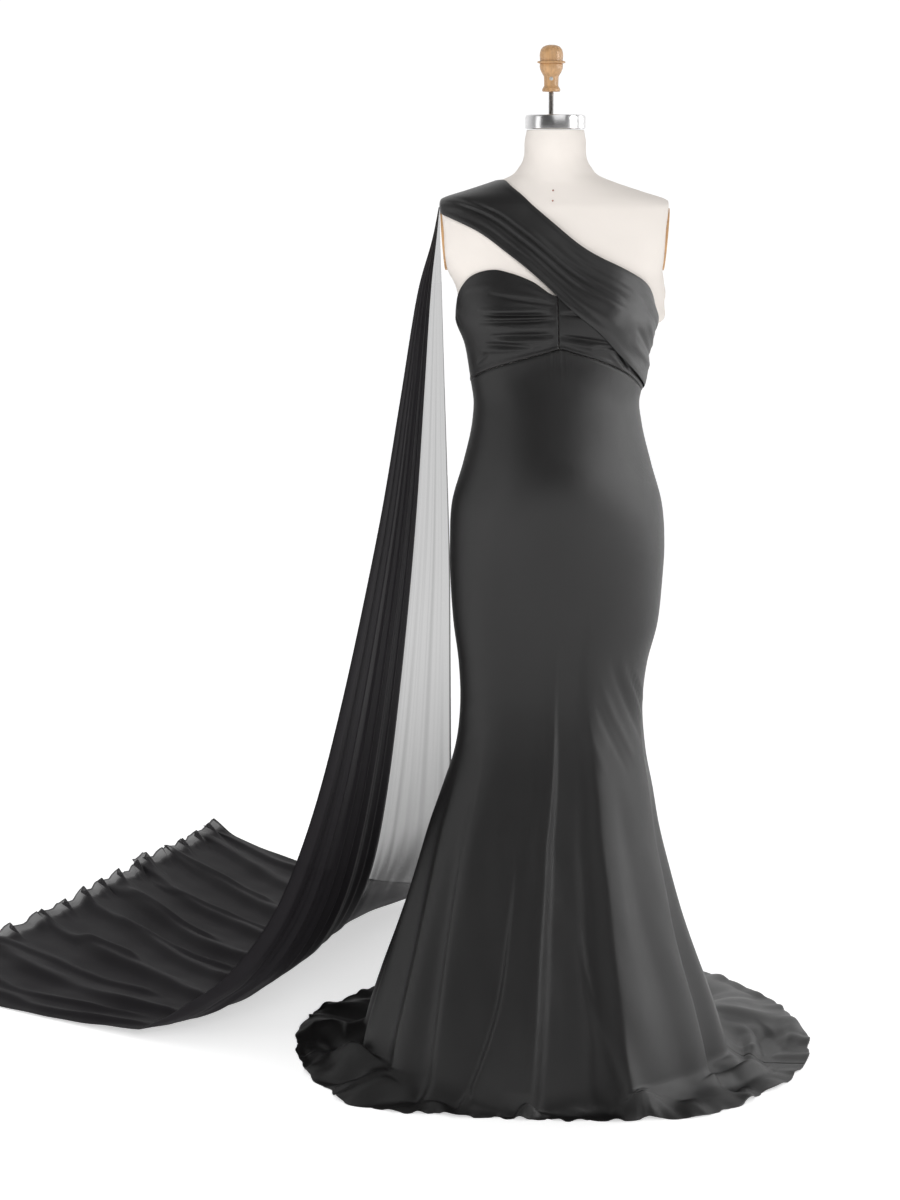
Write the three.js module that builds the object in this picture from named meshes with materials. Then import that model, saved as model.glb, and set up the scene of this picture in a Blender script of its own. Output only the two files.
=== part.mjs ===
// A one-shoulder mermaid maternity gown with a sheer train, worn on a dress form.
// Millimetres, +Z up. The front faces -Y and the wearer's right is at -X.
// The origin is on the floor, in the middle of the stand's base.
import * as THREE from "three";

// Driving dimensions

const JERSEY = 1.6; // wall of the gown's cloth
const CHIFFON = 1.2; // wall of the train's cloth
const SEAM = 0.3; // room between pieces at a seam
const SEAM_RADIUS = 150; // how far out the side seams are, for turning their room into degrees
const SIDE_GAP = THREE.MathUtils.radToDeg(SEAM / SEAM_RADIUS) * 0.75; // each piece stays this far back
const FORM_INSET = 2.6; // the form's cover inside the gown's outer face, at the bust
const FORM_HIDDEN_INSET = 5.5; // the same below the bust, where the gown hides it
const FORM_BOTTOM = 820;
const NECK_TOP = 1661;

const CENTRE_SEAM = 2; // degrees from straight ahead
const SIDE = 90; // degrees from straight ahead to a side seam

const STRAP_LIFT = 0.3; // the strap's outer face where it lies on the form
const ARM_EDGE_LIFT = 2.2; // and where it turns over the edge of the arm opening
const SASH_LIFT = 3.1; // how much further out the sash lies over the cups
const SASH_FOLD = 2.4; // height of its lengthwise folds
const SASH_FOLDS = 3.5;

const FLOOR_BEND = 45; // height at which the skirt starts to turn out on the floor
const HEM_WAVE = 5; // rise and fall of the rolled hem
const HEM_SWAY = 5; // the hem's waves in and out

const KNOB_SHIFT = -5; // the knob and rod stand a little off the cap's middle

// Colours

const JERSEY_BLACK = 0x1b1b1d;
const SATIN_BLACK = 0x242427;
const CHIFFON_BLACK = 0x17161a;
const LINEN = 0xe6dccb;
const WOOD = 0xc79f6c;
const CHROME = 0xc9cbcf;
const DARK_STEEL = 0x4a4845;
const CAST_IRON = 0x2b2b2d;
const JERSEY_ROUGH = 0.75;
const SATIN_ROUGH = 0.45;

// Tables and curves

// A smooth curve through the rows, which goes round when a period is given.
function curve(xs, ys, period = 0) {
  const at = period ? [xs.at(-1) - period, ...xs, xs[0] + period, xs[1] + period] : xs;
  const to = period ? [ys.at(-1), ...ys, ys[0], ys[1]] : ys;
  const last = at.length - 1;
  const slope = (i) => (to[i + 1] - to[i]) / (at[i + 1] - at[i]);
  const tangents = at.map((_, i) => {
    if (i === 0) return slope(0);
    if (i === last) return slope(last - 1);
    const before = at[i] - at[i - 1];
    const after = at[i + 1] - at[i];
    return (slope(i - 1) * after + slope(i) * before) / (before + after);
  });
  return (x) => {
    const inside = THREE.MathUtils.clamp(x, at[0], at[last]);
    let i = 0;
    while (i < last - 1 && inside > at[i + 1]) i += 1;
    const step = at[i + 1] - at[i];
    const t = (inside - at[i]) / step;
    const start = to[i] * (1 + 2 * t) * (1 - t) ** 2 + tangents[i] * step * t * (1 - t) ** 2;
    return start + to[i + 1] * t * t * (3 - 2 * t) + tangents[i + 1] * step * t * t * (t - 1);
  };
}

// Gives each column after the first as a curve over the first.
function curves(columns, rows, period = 0) {
  const along = rows.map((row) => row[0]);
  const made = {};
  columns.slice(1).forEach((name, k) => {
    made[name] = curve(along, rows.map((row) => row[k + 1]), period);
  });
  return made;
}

const bump = (x, width) => Math.exp(-(x * x) / (2 * width * width));
const lerp = THREE.MathUtils.lerp;
const radians = THREE.MathUtils.degToRad;
const ease = (x) => THREE.MathUtils.smoothstep(x, 0, 1);
const turned = (degrees) => THREE.MathUtils.euclideanModulo(degrees + 180, 360) - 180;

// The gown's outer shape, by height. shift moves a section sideways; half is its half
// width, front and back its depths; square is 2 for an ellipse and more for fuller corners.
const SECTION = curves(["z", "shift", "half", "front", "back", "square"], [
  [0, -5, 330, 268, 330, 2],
  [60, -5, 318, 260, 306, 2],
  [149, -7, 292, 241, 266, 2],
  [224, -10, 266, 220, 234, 2],
  [292, -12, 244, 201, 206, 2],
  [371, -12, 221, 178, 173, 2.05],
  [446, -11, 201, 157, 145, 2.1],
  [519, -5, 184, 138, 121, 2.15],
  [595, -1, 167, 121, 106, 2.2],
  [668, 0, 161, 113, 100, 2.2],
  [740, 2, 166, 115, 104, 2.2],
  [810, 6, 179, 123, 117, 2.2],
  [882, 7, 185, 133, 128, 2.2],
  [953, 8, 187, 139, 130, 2.2],
  [1024, 7, 182, 141, 120, 2.2],
  [1095, 7, 162, 137, 104, 2.2],
  [1165, 6, 146, 131, 92, 2.2],
  [1200, 5, 143, 128, 87, 2.2],
  [1234, 6, 149, 124, 86, 2.3],
  [1303, 4, 159, 122, 91, 2.3],
  [1338, 3, 171, 124, 96, 2.35],
  [1372, 2, 171, 124, 98, 2.35],
  [1400, 2, 178, 119, 99, 2.3],
  [1430, 1, 190, 112, 97, 2.3],
  [1460, 0, 200, 105, 95, 2.3],
  [1490, 0, 203, 97, 92, 2.3],
  [1520, 0, 200, 88, 85, 2.25],
  [1542, 0, 190, 78, 77, 2.2],
  [1559, 0, 150, 70, 71, 2.15],
  [1576, 0, 99, 62, 66, 2.1],
  [1584, 0, 79, 60, 64, 2.05],
  [1600, 0, 63, 57, 60, 2],
  [1646, 0, 54, 54, 54, 2],
  [NECK_TOP, 0, 51, 51, 51, 2],
]);
const BUST = { out: 30, at: 82, z: 1352, wide: 40, tall: 44 };
const BELLY = { out: 60, z: 1082, wide: 35, above: 95, below: 105 };
const ARMHOLE = { x: 189.5, top: 1535, lean: 0.08, bottom: 1385, round: 8 };

// A point of the gown's outer face: degrees from straight ahead, then height.
function figure(degrees, z) {
  const angle = radians(degrees);
  const across = Math.sin(angle);
  const ahead = Math.cos(angle);
  const n = SECTION.square(z);
  const deep = ahead > 0 ? SECTION.front(z) : SECTION.back(z);
  let r = ((Math.abs(across) / SECTION.half(z)) ** n + (Math.abs(ahead) / deep) ** n) ** (-1 / n);
  if (ahead > 0) {
    const sides = bump(r * across - BUST.at, BUST.wide) + bump(r * across + BUST.at, BUST.wide);
    const tall = z > BELLY.z ? BELLY.above : BELLY.below;
    r += BUST.out * bump(z - BUST.z, BUST.tall) * sides * Math.sqrt(ahead);
    r += BELLY.out * bump(turned(degrees), BELLY.wide) * bump(z - BELLY.z, tall) * Math.sqrt(ahead);
  }
  const flat = ARMHOLE.x - ARMHOLE.lean * (ARMHOLE.top - z);
  const wide = SECTION.shift(z) + r * across;
  const over = Math.abs(wide) - (flat - ARMHOLE.round);
  const cut = over > 0 && z > ARMHOLE.bottom;
  const x = cut ? Math.sign(wide) * (flat - ARMHOLE.round * Math.exp(-over / ARMHOLE.round)) : wide;
  return new THREE.Vector3(x, -r * ahead, z);
}

// Walls

// The normal of a surface of two numbers, u and v, that both run from 0 to 1.
function normalAt(surface, u, v) {
  const step = 1e-3;
  const along = surface(Math.min(1, u + step), v).sub(surface(Math.max(0, u - step), v));
  const down = surface(u, Math.min(1, v + step)).sub(surface(u, Math.max(0, v - step)));
  return down.cross(along).normalize();
}

// Closed geometry from rows of points; each face is listed so that it points out.
function closedMesh(points, faces) {
  const geometry = new THREE.BufferGeometry();
  geometry.setAttribute("position", new THREE.Float32BufferAttribute(points.flatMap((p) => p.toArray()), 3));
  geometry.setIndex(faces.flat());
  geometry.computeVertexNormals();
  return geometry;
}

// A cloth wall on a surface: its outer face is lift outside, and its inner face a
// thickness further in. u runs to the viewer's right on the front, v runs down.
function clothWall(surface, us, vs, thickness, lift = () => 0) {
  const outer = [];
  const inner = [];
  for (const v of vs) {
    for (const u of us) {
      const point = surface(u, v);
      const normal = normalAt(surface, u, v);
      const out = lift(u, v);
      const face = point.clone().addScaledVector(normal, out);
      const back = point.clone().addScaledVector(normal, out - thickness);
      face.z = Math.max(face.z, thickness);
      back.z = Math.max(back.z, 0);
      outer.push(face);
      inner.push(back);
    }
  }
  const columns = us.length;
  const under = outer.length;
  const at = (i, j) => j * columns + i;
  const faces = [];
  const quad = (a, b, c, d) => faces.push([a, b, c], [a, c, d]);
  for (let j = 0; j < vs.length - 1; j += 1) {
    for (let i = 0; i < columns - 1; i += 1) {
      quad(at(i, j), at(i, j + 1), at(i + 1, j + 1), at(i + 1, j));
      quad(under + at(i, j), under + at(i + 1, j), under + at(i + 1, j + 1), under + at(i, j + 1));
    }
    const right = columns - 1;
    quad(at(0, j), under + at(0, j), under + at(0, j + 1), at(0, j + 1));
    quad(at(right, j + 1), under + at(right, j + 1), under + at(right, j), at(right, j));
  }
  for (let i = 0; i < columns - 1; i += 1) {
    const end = vs.length - 1;
    quad(at(i + 1, 0), under + at(i + 1, 0), under + at(i, 0), at(i, 0));
    quad(at(i, end), under + at(i, end), under + at(i + 1, end), at(i + 1, end));
  }
  return closedMesh([...outer, ...inner], faces);
}

const evenly = (count) => Array.from({ length: count + 1 }, (_, i) => i / count);

function node(name, geometry, color, roughness, metalness = 0) {
  const mesh = new THREE.Mesh(geometry, new THREE.MeshStandardMaterial({ color, roughness, metalness }));
  mesh.name = name;
  return mesh;
}

// The gown's seams and edges, by degrees from straight ahead

const EMPIRE = curves(["degrees", "z"], [
  [-90, 1230],
  [-40, 1268],
  [-7, 1291],
  [4, 1297],
  [13, 1291],
  [43, 1265],
  [76, 1224],
  [90, 1217],
  [180, 1222],
], 360);
const CUP_TOP = curves(["degrees", "z"], [
  [-90, 1346],
  [-80, 1368],
  [-69, 1395],
  [-58, 1418],
  [-45, 1428],
  [-33, 1423],
  [-18, 1410],
  [2, 1385],
  [20, 1398],
  [42, 1408],
  [58, 1398],
  [68, 1378],
  [90, 1318],
  [130, 1336],
  [180, 1350],
  [230, 1350],
], 360);

// The folds gathered into the centre front, on each cup, by height there
const RUCHES = [1374, 1352, 1331, 1311];
const RUCHE = { height: 2.4, tall: 6, middle: 18, wide: 13, fan: 0.45 };

function ruche(degrees) {
  const from = degrees - CENTRE_SEAM;
  const fade = bump(Math.abs(from) - RUCHE.middle, RUCHE.wide) * (from < 0 ? 1 : 0);
  return (z) => {
    const spread = (level) => (level - BUST.z) * RUCHE.fan * Math.abs(from) / RUCHE.middle;
    return RUCHE.height * fade * RUCHES.reduce((sum, level) => sum + bump(z - level - spread(level), RUCHE.tall), 0);
  };
}

// Bodice: two cups and a back, from the empire seam up

function bodicePiece(name, from, to, columns, rows) {
  const degreesAt = (u) => lerp(from + SIDE_GAP, to - SIDE_GAP, u);
  const heightAt = (u, v) => lerp(CUP_TOP.z(degreesAt(u)), EMPIRE.z(degreesAt(u)) + SEAM / 2, v);
  const surface = (u, v) => figure(degreesAt(u), heightAt(u, v));
  const lift = (u, v) => ruche(turned(degreesAt(u)))(heightAt(u, v));
  const geometry = clothWall(surface, evenly(columns), evenly(rows), JERSEY, lift);
  return node(name, geometry, JERSEY_BLACK, JERSEY_ROUGH);
}

function bodice() {
  const group = new THREE.Group();
  group.add(bodicePiece("bodice_front_right", -SIDE, CENTRE_SEAM, 16, 11));
  group.add(bodicePiece("bodice_front_left", CENTRE_SEAM, SIDE, 16, 11));
  group.add(bodicePiece("bodice_back", SIDE, 360 - SIDE, 22, 5));
  return group;
}

// Sash: over the bust from the side seam to the shoulder, and down the back

const SASH = curves(["along", "low_degrees", "low_z", "high_degrees", "high_z"], [
  [0, -89.8, 1522, -89.8, 1575],
  [0.12, -80, 1520, -66, 1575],
  [0.24, -60, 1494, -43, 1557],
  [0.36, -41, 1461, -22, 1532],
  [0.48, -21, 1427, 5, 1496],
  [0.6, 2, 1383, 30, 1457],
  [0.72, 24, 1334, 52, 1424],
  [0.82, 43, 1288, 65, 1400],
  [0.92, 68, 1241, 78, 1356],
  [1, 89, 1219, 89, 1318],
]);
const SASH_BACK = curves(["along", "low_degrees", "low_z", "high_degrees", "high_z"], [
  [0, 269.8, 1522, 269.8, 1575],
  [0.15, 257, 1512, 240, 1573],
  [0.4, 237, 1462, 212, 1530],
  [0.7, 226, 1400, 197, 1440],
  [1, 222, 1353.5, 190, 1354],
]);

function strapSurface(table) {
  return (u, v) => {
    const degrees = lerp(table.high_degrees(u), table.low_degrees(u), v);
    return figure(degrees, lerp(table.high_z(u), table.low_z(u), v));
  };
}

function sash() {
  const group = new THREE.Group();
  const overCups = (u) => ease((u - 0.34) / 0.14);
  const fold = (u, v) => SASH_FOLD * (0.5 - 0.5 * Math.cos(2 * Math.PI * SASH_FOLDS * v)) * ease(u * 4) * ease((1 - u) * 8);
  const lift = (u, v) => STRAP_LIFT + SASH_LIFT * overCups(u) + fold(u, v);
  const front = clothWall(strapSurface(SASH), evenly(26), evenly(11), JERSEY, lift);
  group.add(node("sash_front", front, SATIN_BLACK, SATIN_ROUGH));
  const mirrored = (u, v) => strapSurface(SASH_BACK)(1 - u, v);
  const overCorner = (u, v) => STRAP_LIFT + ARM_EDGE_LIFT * ease(v * 2 - 0.6) * ease((1 - u) * 10);
  const back = clothWall(mirrored, evenly(16), evenly(11), JERSEY, overCorner);
  group.add(node("sash_back", back, JERSEY_BLACK, JERSEY_ROUGH));
  return group;
}

// Skirt: front and back panels from the empire seam to the hem on the floor

// Each fold leans from its top angle to its floor angle and deepens as it falls.
const FOLDS = [
  ["top", "floor", "from", "height", "wide"],
  [2, -4, 780, 11, 6],
  [14, 13, 760, -9, 7],
  [40, 33, 800, 15, 8],
  [30, 24, 520, -9, 3.5],
  [76, 56, 620, 14, 8],
  [88, 78, 480, 12, 7],
  [-23, -22, 560, -8, 5],
  [-38, -39, 420, 12, 7],
  [-62, -48, 560, -10, 6],
  [-80, -61, 560, 15, 8],
  [-95, -82, 500, 12, 8],
  [-112, -104, 520, 14, 7],
  [-132, -126, 560, -8, 6],
  [-150, -146, 560, 16, 8],
  [-172, -170, 600, 14, 7],
  [-194, -193, 600, 16, 8],
  [-214, -216, 560, 14, 7],
  [-236, -238, 540, 15, 8],
  [-255, -258, 500, 11, 7],
];
const HEM = curves(["degrees", "reach"], [
  [-150, 545],
  [-115, 501],
  [-91, 457],
  [-66, 419],
  [-56, 412],
  [-44, 363],
  [-3, 285],
  [29, 319],
  [51, 377],
  [67, 399],
  [86, 452],
  [120, 531],
  [147, 600],
  [180, 712],
], 360);
const FLOOR_PART = 0.8; // where v reaches the floor bend
const BELLY_PART = 0.36; // where v passes under the belly
const BELLY_FOOT = 930;
const FLOOR_ROWS = [0.12, 0.35, 0.65, 0.87, 1]; // rows of points between the bend and the hem

function foldAt(degrees, z) {
  return FOLDS.slice(1).reduce((sum, [top, floor, from, height, wide]) => {
    const fallen = THREE.MathUtils.clamp((from - z) / from, 0, 1);
    return sum + height * ease(fallen) * bump(turned(degrees - lerp(top, floor, fallen)), wide);
  }, 0);
}

function skirtSurface(degreesAt, waves) {
  return (u, v) => {
    const degrees = degreesAt(u);
    const top = EMPIRE.z(degrees) - SEAM / 2;
    const wave = Math.cos(Math.PI * waves * 2 * u);
    if (v <= BELLY_PART) return figure(degrees, lerp(top, BELLY_FOOT, v / BELLY_PART));
    const down = Math.min(1, (v - BELLY_PART) / (FLOOR_PART - BELLY_PART));
    const out = Math.max(0, (v - FLOOR_PART) / (1 - FLOOR_PART));
    const z = lerp(BELLY_FOOT, FLOOR_BEND, down);
    const point = figure(degrees, z);
    const reach = Math.hypot(point.x, point.y) + foldAt(degrees, z) * (1 - out);
    const spread = lerp(reach, HEM.reach(turned(degrees)) + HEM_SWAY * wave * out ** 4, out);
    const heap = Math.max(0, foldAt(degrees, 0)) * 0.8 * out * (1 - out) * 2;
    const roll = HEM_WAVE * (1 + wave) * out ** 6;
    const height = out > 0 ? JERSEY + (FLOOR_BEND - JERSEY) * (1 - out) ** 6 + heap + roll : z;
    const ratio = spread / Math.hypot(point.x, point.y);
    return new THREE.Vector3(point.x * ratio, point.y * ratio, height);
  };
}

function skirtPanel(name, degreesAt, columns) {
  const surface = skirtSurface(degreesAt, columns / 2);
  const vs = [
    ...evenly(7).map((v) => v * BELLY_PART),
    ...evenly(8).slice(1).map((v) => lerp(BELLY_PART, FLOOR_PART, v)),
    ...FLOOR_ROWS.map((v) => lerp(FLOOR_PART, 1, v)),
  ];
  return node(name, clothWall(surface, evenly(columns), vs, JERSEY), JERSEY_BLACK, JERSEY_ROUGH);
}

function skirt() {
  const group = new THREE.Group();
  const right = (u) => lerp(SIDE_GAP - SIDE, CENTRE_SEAM, 2 * u);
  const left = (u) => lerp(CENTRE_SEAM, SIDE - SIDE_GAP, 2 * u - 1);
  group.add(skirtPanel("skirt_front", (u) => (u < 0.5 ? right(u) : left(u)), 32));
  group.add(skirtPanel("skirt_back", (u) => lerp(SIDE + SIDE_GAP, 360 - SIDE - SIDE_GAP, u), 44));
  return group;
}

// Train: gathered at the shoulder, falling to a line on the floor and spread out there

const TRAIN_TOP = { x: -190.6, z: 1530, front: -14, back: 34 };
const TRAIN_TOUCH = curves(["part", "x", "y"], [
  [0, -760, 88],
  [0.1, -689, 134],
  [0.21, -640, 192],
  [0.33, -599, 291],
  [0.45, -553, 400],
  [0.57, -526, 527],
  [0.7, -477, 674],
  [0.84, -400, 850],
  [1, -225, 1060],
]);
const TRAIN_HEM = curves(["part", "x", "y"], [
  [0, -1276, 383],
  [0.2, -1165, 690],
  [0.4, -1050, 960],
  [0.6, -975, 1190],
  [0.8, -895, 1400],
  [1, -825, 1603],
]);
const TRAIN_FALL = curves(["reach", "z"], [
  [0, 1530],
  [0.012, 1495],
  [0.063, 1385],
  [0.118, 1200],
  [0.171, 1022],
  [0.233, 846],
  [0.305, 660],
  [0.384, 483],
  [0.447, 371],
  [0.515, 275],
  [0.587, 203],
  [0.65, 155],
  [0.725, 110],
  [0.81, 76],
  [0.89, 46],
  [1, 16],
]);
const TRAIN_WAVES = 20; // rolled waves along the hem
const TRAIN_TOUCH_PART = 0.72; // where the falling part meets the floor part
const TRAIN_PLEATS = 5; // deep folds in the bundle at its front edge
const TRAIN_BUNDLE = 0.5; // the bundle's share of the columns
const TRAIN_RUNS = 9; // soft folds that run over the floor to the hem
const TRAIN_FLOOR_ROWS = [0.15, 0.4, 0.7, 0.9, 1]; // rows of points between the touching line and the hem

function trainFall(part, reach) {
  const top = new THREE.Vector2(TRAIN_TOP.x, lerp(TRAIN_TOP.front, TRAIN_TOP.back, part));
  const touch = new THREE.Vector2(TRAIN_TOUCH.x(part), TRAIN_TOUCH.y(part));
  const at = top.lerp(touch, reach);
  return new THREE.Vector3(at.x, at.y, TRAIN_FALL.z(reach));
}

function trainSurface(part, v) {
  const falling = Math.min(1, v / TRAIN_TOUCH_PART);
  const reach = falling ** 1.6;
  const base = trainFall(part, reach);
  if (v <= TRAIN_TOUCH_PART) {
    const step = 1e-3;
    const side = trainFall(Math.min(1, part + step), reach).sub(trainFall(Math.max(0, part - step), reach));
    const down = trainFall(part, Math.min(1, reach + step)).sub(trainFall(part, Math.max(0, reach - step)));
    const normal = side.cross(down).normalize();
    const width = trainFall(0, reach).distanceTo(trainFall(TRAIN_BUNDLE, reach)) / TRAIN_PLEATS;
    const bundle = 1 - ease((part - TRAIN_BUNDLE + 0.08) / 0.16);
    const pleat = Math.cos((2 * Math.PI * TRAIN_PLEATS * part) / TRAIN_BUNDLE);
    const wide = Math.cos(2 * Math.PI * 3 * part);
    const depth = Math.min(12, width * 0.15) * ease(reach * 14) * (1 - reach) ** 0.5;
    return base.addScaledVector(normal, depth * (pleat * bundle + 0.5 * wide * (1 - bundle)));
  }
  const out = (v - TRAIN_TOUCH_PART) / (1 - TRAIN_TOUCH_PART);
  const bow = lerp(-14, -109, part) * 4 * out * (1 - out);
  const wave = Math.cos(2 * Math.PI * TRAIN_WAVES * part);
  const run = 3.5 * (1 + Math.cos(2 * Math.PI * TRAIN_RUNS * part)) * Math.sin(Math.PI * Math.min(1, out * 1.6) / 2);
  const roll = 5 * (1 + wave) * out ** 8;
  const x = lerp(base.x, TRAIN_HEM.x(part) + 6 * wave * out ** 6, out);
  const y = lerp(base.y, TRAIN_HEM.y(part), out) + bow;
  return new THREE.Vector3(x, y, CHIFFON + (base.z - CHIFFON) * (1 - out) ** 4 + run * (1 - out ** 8) + roll);
}

function train() {
  const vs = [
    ...evenly(12).map((v) => v * TRAIN_TOUCH_PART),
    ...TRAIN_FLOOR_ROWS.map((v) => lerp(TRAIN_TOUCH_PART, 1, v)),
  ];
  const outward = (u, v) => trainSurface(1 - u, v);
  const geometry = clothWall(outward, evenly(TRAIN_WAVES * 2), vs, CHIFFON);
  return node("train", geometry, CHIFFON_BLACK, 0.6);
}

// Dress form: torso and neck in one, with a flat bottom

const FORM_COLUMNS = 36;
const FORM_LEVELS = [
  FORM_BOTTOM, 870, 920, 970, 1020, 1070, 1120, 1170, 1210, 1250, 1285, 1310, 1332, 1352, 1374, 1398, 1425,
  1455, 1485, 1510, 1527, 1540, 1551, 1560, 1568, 1575, 1582, 1592, 1610, 1635, NECK_TOP,
];

function formBody() {
  const points = [];
  for (const z of FORM_LEVELS) {
    const inset = lerp(FORM_HIDDEN_INSET, FORM_INSET, ease((z - 1385) / 55));
    const surface = (u, v) => figure(360 * u, lerp(z + 1, z - 1, v));
    for (let i = 0; i < FORM_COLUMNS; i += 1) {
      const u = i / FORM_COLUMNS;
      const along = surface(u + 1e-4, 0.5).sub(surface(u - 1e-4, 0.5));
      const normal = surface(u, 1).sub(surface(u, 0)).cross(along).normalize();
      const moved = surface(u, 0.5).addScaledVector(normal, -inset);
      if (z === FORM_BOTTOM || z === NECK_TOP) moved.z = z;
      points.push(moved);
    }
  }
  const faces = [];
  const rows = FORM_LEVELS.length;
  const at = (i, j) => j * FORM_COLUMNS + (i % FORM_COLUMNS);
  for (let j = 0; j < rows - 1; j += 1) {
    for (let i = 0; i < FORM_COLUMNS; i += 1) {
      faces.push([at(i, j), at(i + 1, j), at(i + 1, j + 1)], [at(i, j), at(i + 1, j + 1), at(i, j + 1)]);
    }
  }
  const foot = points.length;
  points.push(new THREE.Vector3(0, 0, FORM_LEVELS[0]), new THREE.Vector3(0, 0, NECK_TOP));
  for (let i = 0; i < FORM_COLUMNS; i += 1) {
    faces.push([foot, at(i + 1, 0), at(i, 0)], [foot + 1, at(i, rows - 1), at(i + 1, rows - 1)]);
  }
  return node("form_body", closedMesh(points, faces), LINEN, 0.85);
}

// Wooden plates that close the arm openings
const PLATE = { z: 1448, half_high: 64, half_deep: 44, thick: 4.5 };

function armPlate(name, side) {
  const outline = new THREE.Shape();
  outline.absellipse(0, 0, PLATE.half_deep, PLATE.half_high, 0, 2 * Math.PI);
  const geometry = new THREE.ExtrudeGeometry(outline, { depth: PLATE.thick, bevelEnabled: false, curveSegments: 12 });
  const outward = new THREE.Vector3(side, 0, 0);
  const deep = new THREE.Vector3(0, side, 0);
  geometry.applyMatrix4(new THREE.Matrix4().makeBasis(deep, new THREE.Vector3(0, 0, 1), outward));
  const lean = Math.atan(ARMHOLE.lean);
  const plate = node(name, geometry, WOOD, 0.5);
  plate.rotation.y = side * lean;
  plate.position.set(side * (ARMHOLE.x - ARMHOLE.lean * (ARMHOLE.top - PLATE.z) - FORM_INSET + SEAM), 0, PLATE.z);
  return plate;
}

function lathe(name, profile, color, roughness, metalness, segments, shift = 0) {
  const outline = profile.map(([r, z]) => new THREE.Vector2(r, z));
  const mesh = node(name, new THREE.LatheGeometry(outline, segments), color, roughness, metalness);
  mesh.rotation.x = Math.PI / 2;
  mesh.position.x = shift;
  return mesh;
}

const CAP = { r: 51.5, bottom: NECK_TOP + SEAM, top: 1685, edge: 4 };
const ROD = { r: 4.5, bottom: CAP.top + SEAM, top: 1723 };
const KNOB_BOTTOM = ROD.top + SEAM;
const POLE = { r: 16, bottom: 15.3, top: FORM_BOTTOM - SEAM };
const BASE = { r: 190, thick: 15, edge: 3 };

function formParts() {
  const group = new THREE.Group();
  group.add(formBody());
  group.add(armPlate("arm_plate_right", -1));
  group.add(armPlate("arm_plate_left", 1));
  group.add(lathe("neck_cap", [
    [0, CAP.bottom],
    [CAP.r, CAP.bottom],
    [CAP.r, CAP.top - CAP.edge],
    [CAP.r - CAP.edge * 0.3, CAP.top - CAP.edge * 0.3],
    [CAP.r - CAP.edge, CAP.top],
    [0, CAP.top],
  ], CHROME, 0.25, 1, 36));
  group.add(lathe("neck_rod", [
    [0, ROD.bottom],
    [ROD.r, ROD.bottom],
    [ROD.r, ROD.top],
    [0, ROD.top],
  ], DARK_STEEL, 0.4, 1, 12, KNOB_SHIFT));
  group.add(lathe("neck_knob", [
    [0, KNOB_BOTTOM],
    [13, KNOB_BOTTOM],
    [15, KNOB_BOTTOM + 3],
    [15, KNOB_BOTTOM + 7],
    [11.5, KNOB_BOTTOM + 9],
    [11.5, KNOB_BOTTOM + 23],
    [14, KNOB_BOTTOM + 26],
    [20, KNOB_BOTTOM + 44],
    [22.5, KNOB_BOTTOM + 46],
    [22.5, KNOB_BOTTOM + 52],
    [19, KNOB_BOTTOM + 54],
    [18.4, KNOB_BOTTOM + 63],
    [13.5, KNOB_BOTTOM + 72],
    [6.5, KNOB_BOTTOM + 76.5],
    [0, KNOB_BOTTOM + 78],
  ], WOOD, 0.45, 0, 24, KNOB_SHIFT));
  group.add(lathe("stand_pole", [
    [0, POLE.bottom],
    [POLE.r, POLE.bottom],
    [POLE.r, POLE.top],
    [0, POLE.top],
  ], CHROME, 0.3, 1, 24));
  group.add(lathe("stand_base", [
    [0, 0],
    [BASE.r, 0],
    [BASE.r, BASE.thick - BASE.edge],
    [BASE.r - BASE.edge, BASE.thick],
    [0, BASE.thick],
  ], CAST_IRON, 0.55, 0.6, 48));
  return group;
}

const gown = new THREE.Group();
gown.add(bodice(), sash(), skirt(), train(), formParts());

export default gown;
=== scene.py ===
# A one-shoulder maternity gown in black stretch jersey, with a sheer chiffon train, on a dress form.
# The tables give millimetres and degrees from straight ahead; MM turns them into Blender's metres.

import math

import bpy
import numpy as np
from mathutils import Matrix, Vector


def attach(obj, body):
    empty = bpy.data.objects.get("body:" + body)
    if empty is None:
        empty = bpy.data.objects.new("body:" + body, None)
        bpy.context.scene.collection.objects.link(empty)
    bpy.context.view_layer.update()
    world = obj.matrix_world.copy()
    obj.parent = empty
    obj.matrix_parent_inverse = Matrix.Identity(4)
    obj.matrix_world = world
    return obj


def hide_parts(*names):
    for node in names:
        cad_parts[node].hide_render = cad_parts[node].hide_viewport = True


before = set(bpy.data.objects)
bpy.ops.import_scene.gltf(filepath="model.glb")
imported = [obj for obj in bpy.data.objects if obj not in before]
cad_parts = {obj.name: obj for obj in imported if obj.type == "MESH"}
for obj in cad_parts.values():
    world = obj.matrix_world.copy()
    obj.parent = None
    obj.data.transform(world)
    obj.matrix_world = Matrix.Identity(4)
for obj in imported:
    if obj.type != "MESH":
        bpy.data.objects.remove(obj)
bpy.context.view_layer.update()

MM = 0.001


# Curves and tables


def curve(xs, ys, period=0):
    """A smooth curve through the points, which goes round when a period is given."""
    at, to = np.array(xs, float), np.array(ys, float)
    if period:
        at = np.concatenate(([at[-1] - period], at, [at[0] + period, at[1] + period]))
        to = np.concatenate(([to[-1]], to, to[:2]))
    step = np.diff(at)
    slope = np.diff(to) / step
    tangent = np.concatenate((slope[:1], slope))
    tangent[1:-1] = (slope[:-1] * step[1:] + slope[1:] * step[:-1]) / (step[:-1] + step[1:])

    def value(x):
        inside = np.clip(x, at[0], at[-1])
        i = np.clip(np.searchsorted(at, inside, side="right") - 1, 0, len(step) - 1)
        t = (inside - at[i]) / step[i]
        start = to[i] * (1 + 2 * t) * (1 - t) ** 2 + tangent[i] * step[i] * t * (1 - t) ** 2
        return start + to[i + 1] * t * t * (3 - 2 * t) + tangent[i + 1] * step[i] * t * t * (t - 1)

    return value


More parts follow.
